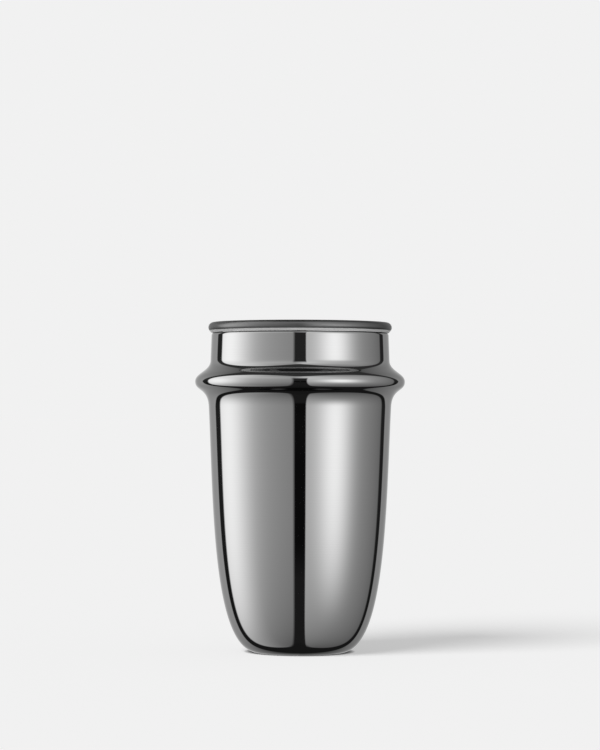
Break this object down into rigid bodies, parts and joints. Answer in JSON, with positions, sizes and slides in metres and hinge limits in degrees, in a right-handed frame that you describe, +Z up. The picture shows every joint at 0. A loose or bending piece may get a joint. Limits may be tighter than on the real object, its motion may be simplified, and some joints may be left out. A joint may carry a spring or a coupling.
{
  "type": "tumbler",
  "caption": "Round double-walled steel drinking tumbler with a rolled lip, a raised bead below the neck and a body that curves in to a small flat foot.",
  "frame": {"origin": "centre of the foot ring, on the plane that the tumbler stands on", "axes": "+Z up along the axis of the cup, out of its mouth; X and Y are alike, because the cup is round"},
  "size_m": [0.0874, 0.0874, 0.1368],
  "materials": {
    "polished_steel": "mirror-polished stainless steel with faint polishing lines",
    "liner_steel": "satin lip, finely spun inside",
    "copper_foil": "smooth copper foil with slight wrinkles",
    "getter_metal": "pressed sintered metal powder",
    "clip_steel": "plain rolled strip",
    "base_steel": "plain pressed sheet",
    "solder_glass": "dark fused solder glass",
    "cover_steel": "polished with faint spun rings"
  },
  "bodies": {
    "root": {"outer_shell": "polished_steel", "inner_liner": "liner_steel", "radiant_foil": "copper_foil", "getter": "getter_metal", "getter_clip": "clip_steel", "vacuum_base": "base_steel", "seal_pellet": "solder_glass", "base_cover": "cover_steel"}
  },
  "joints": []
}
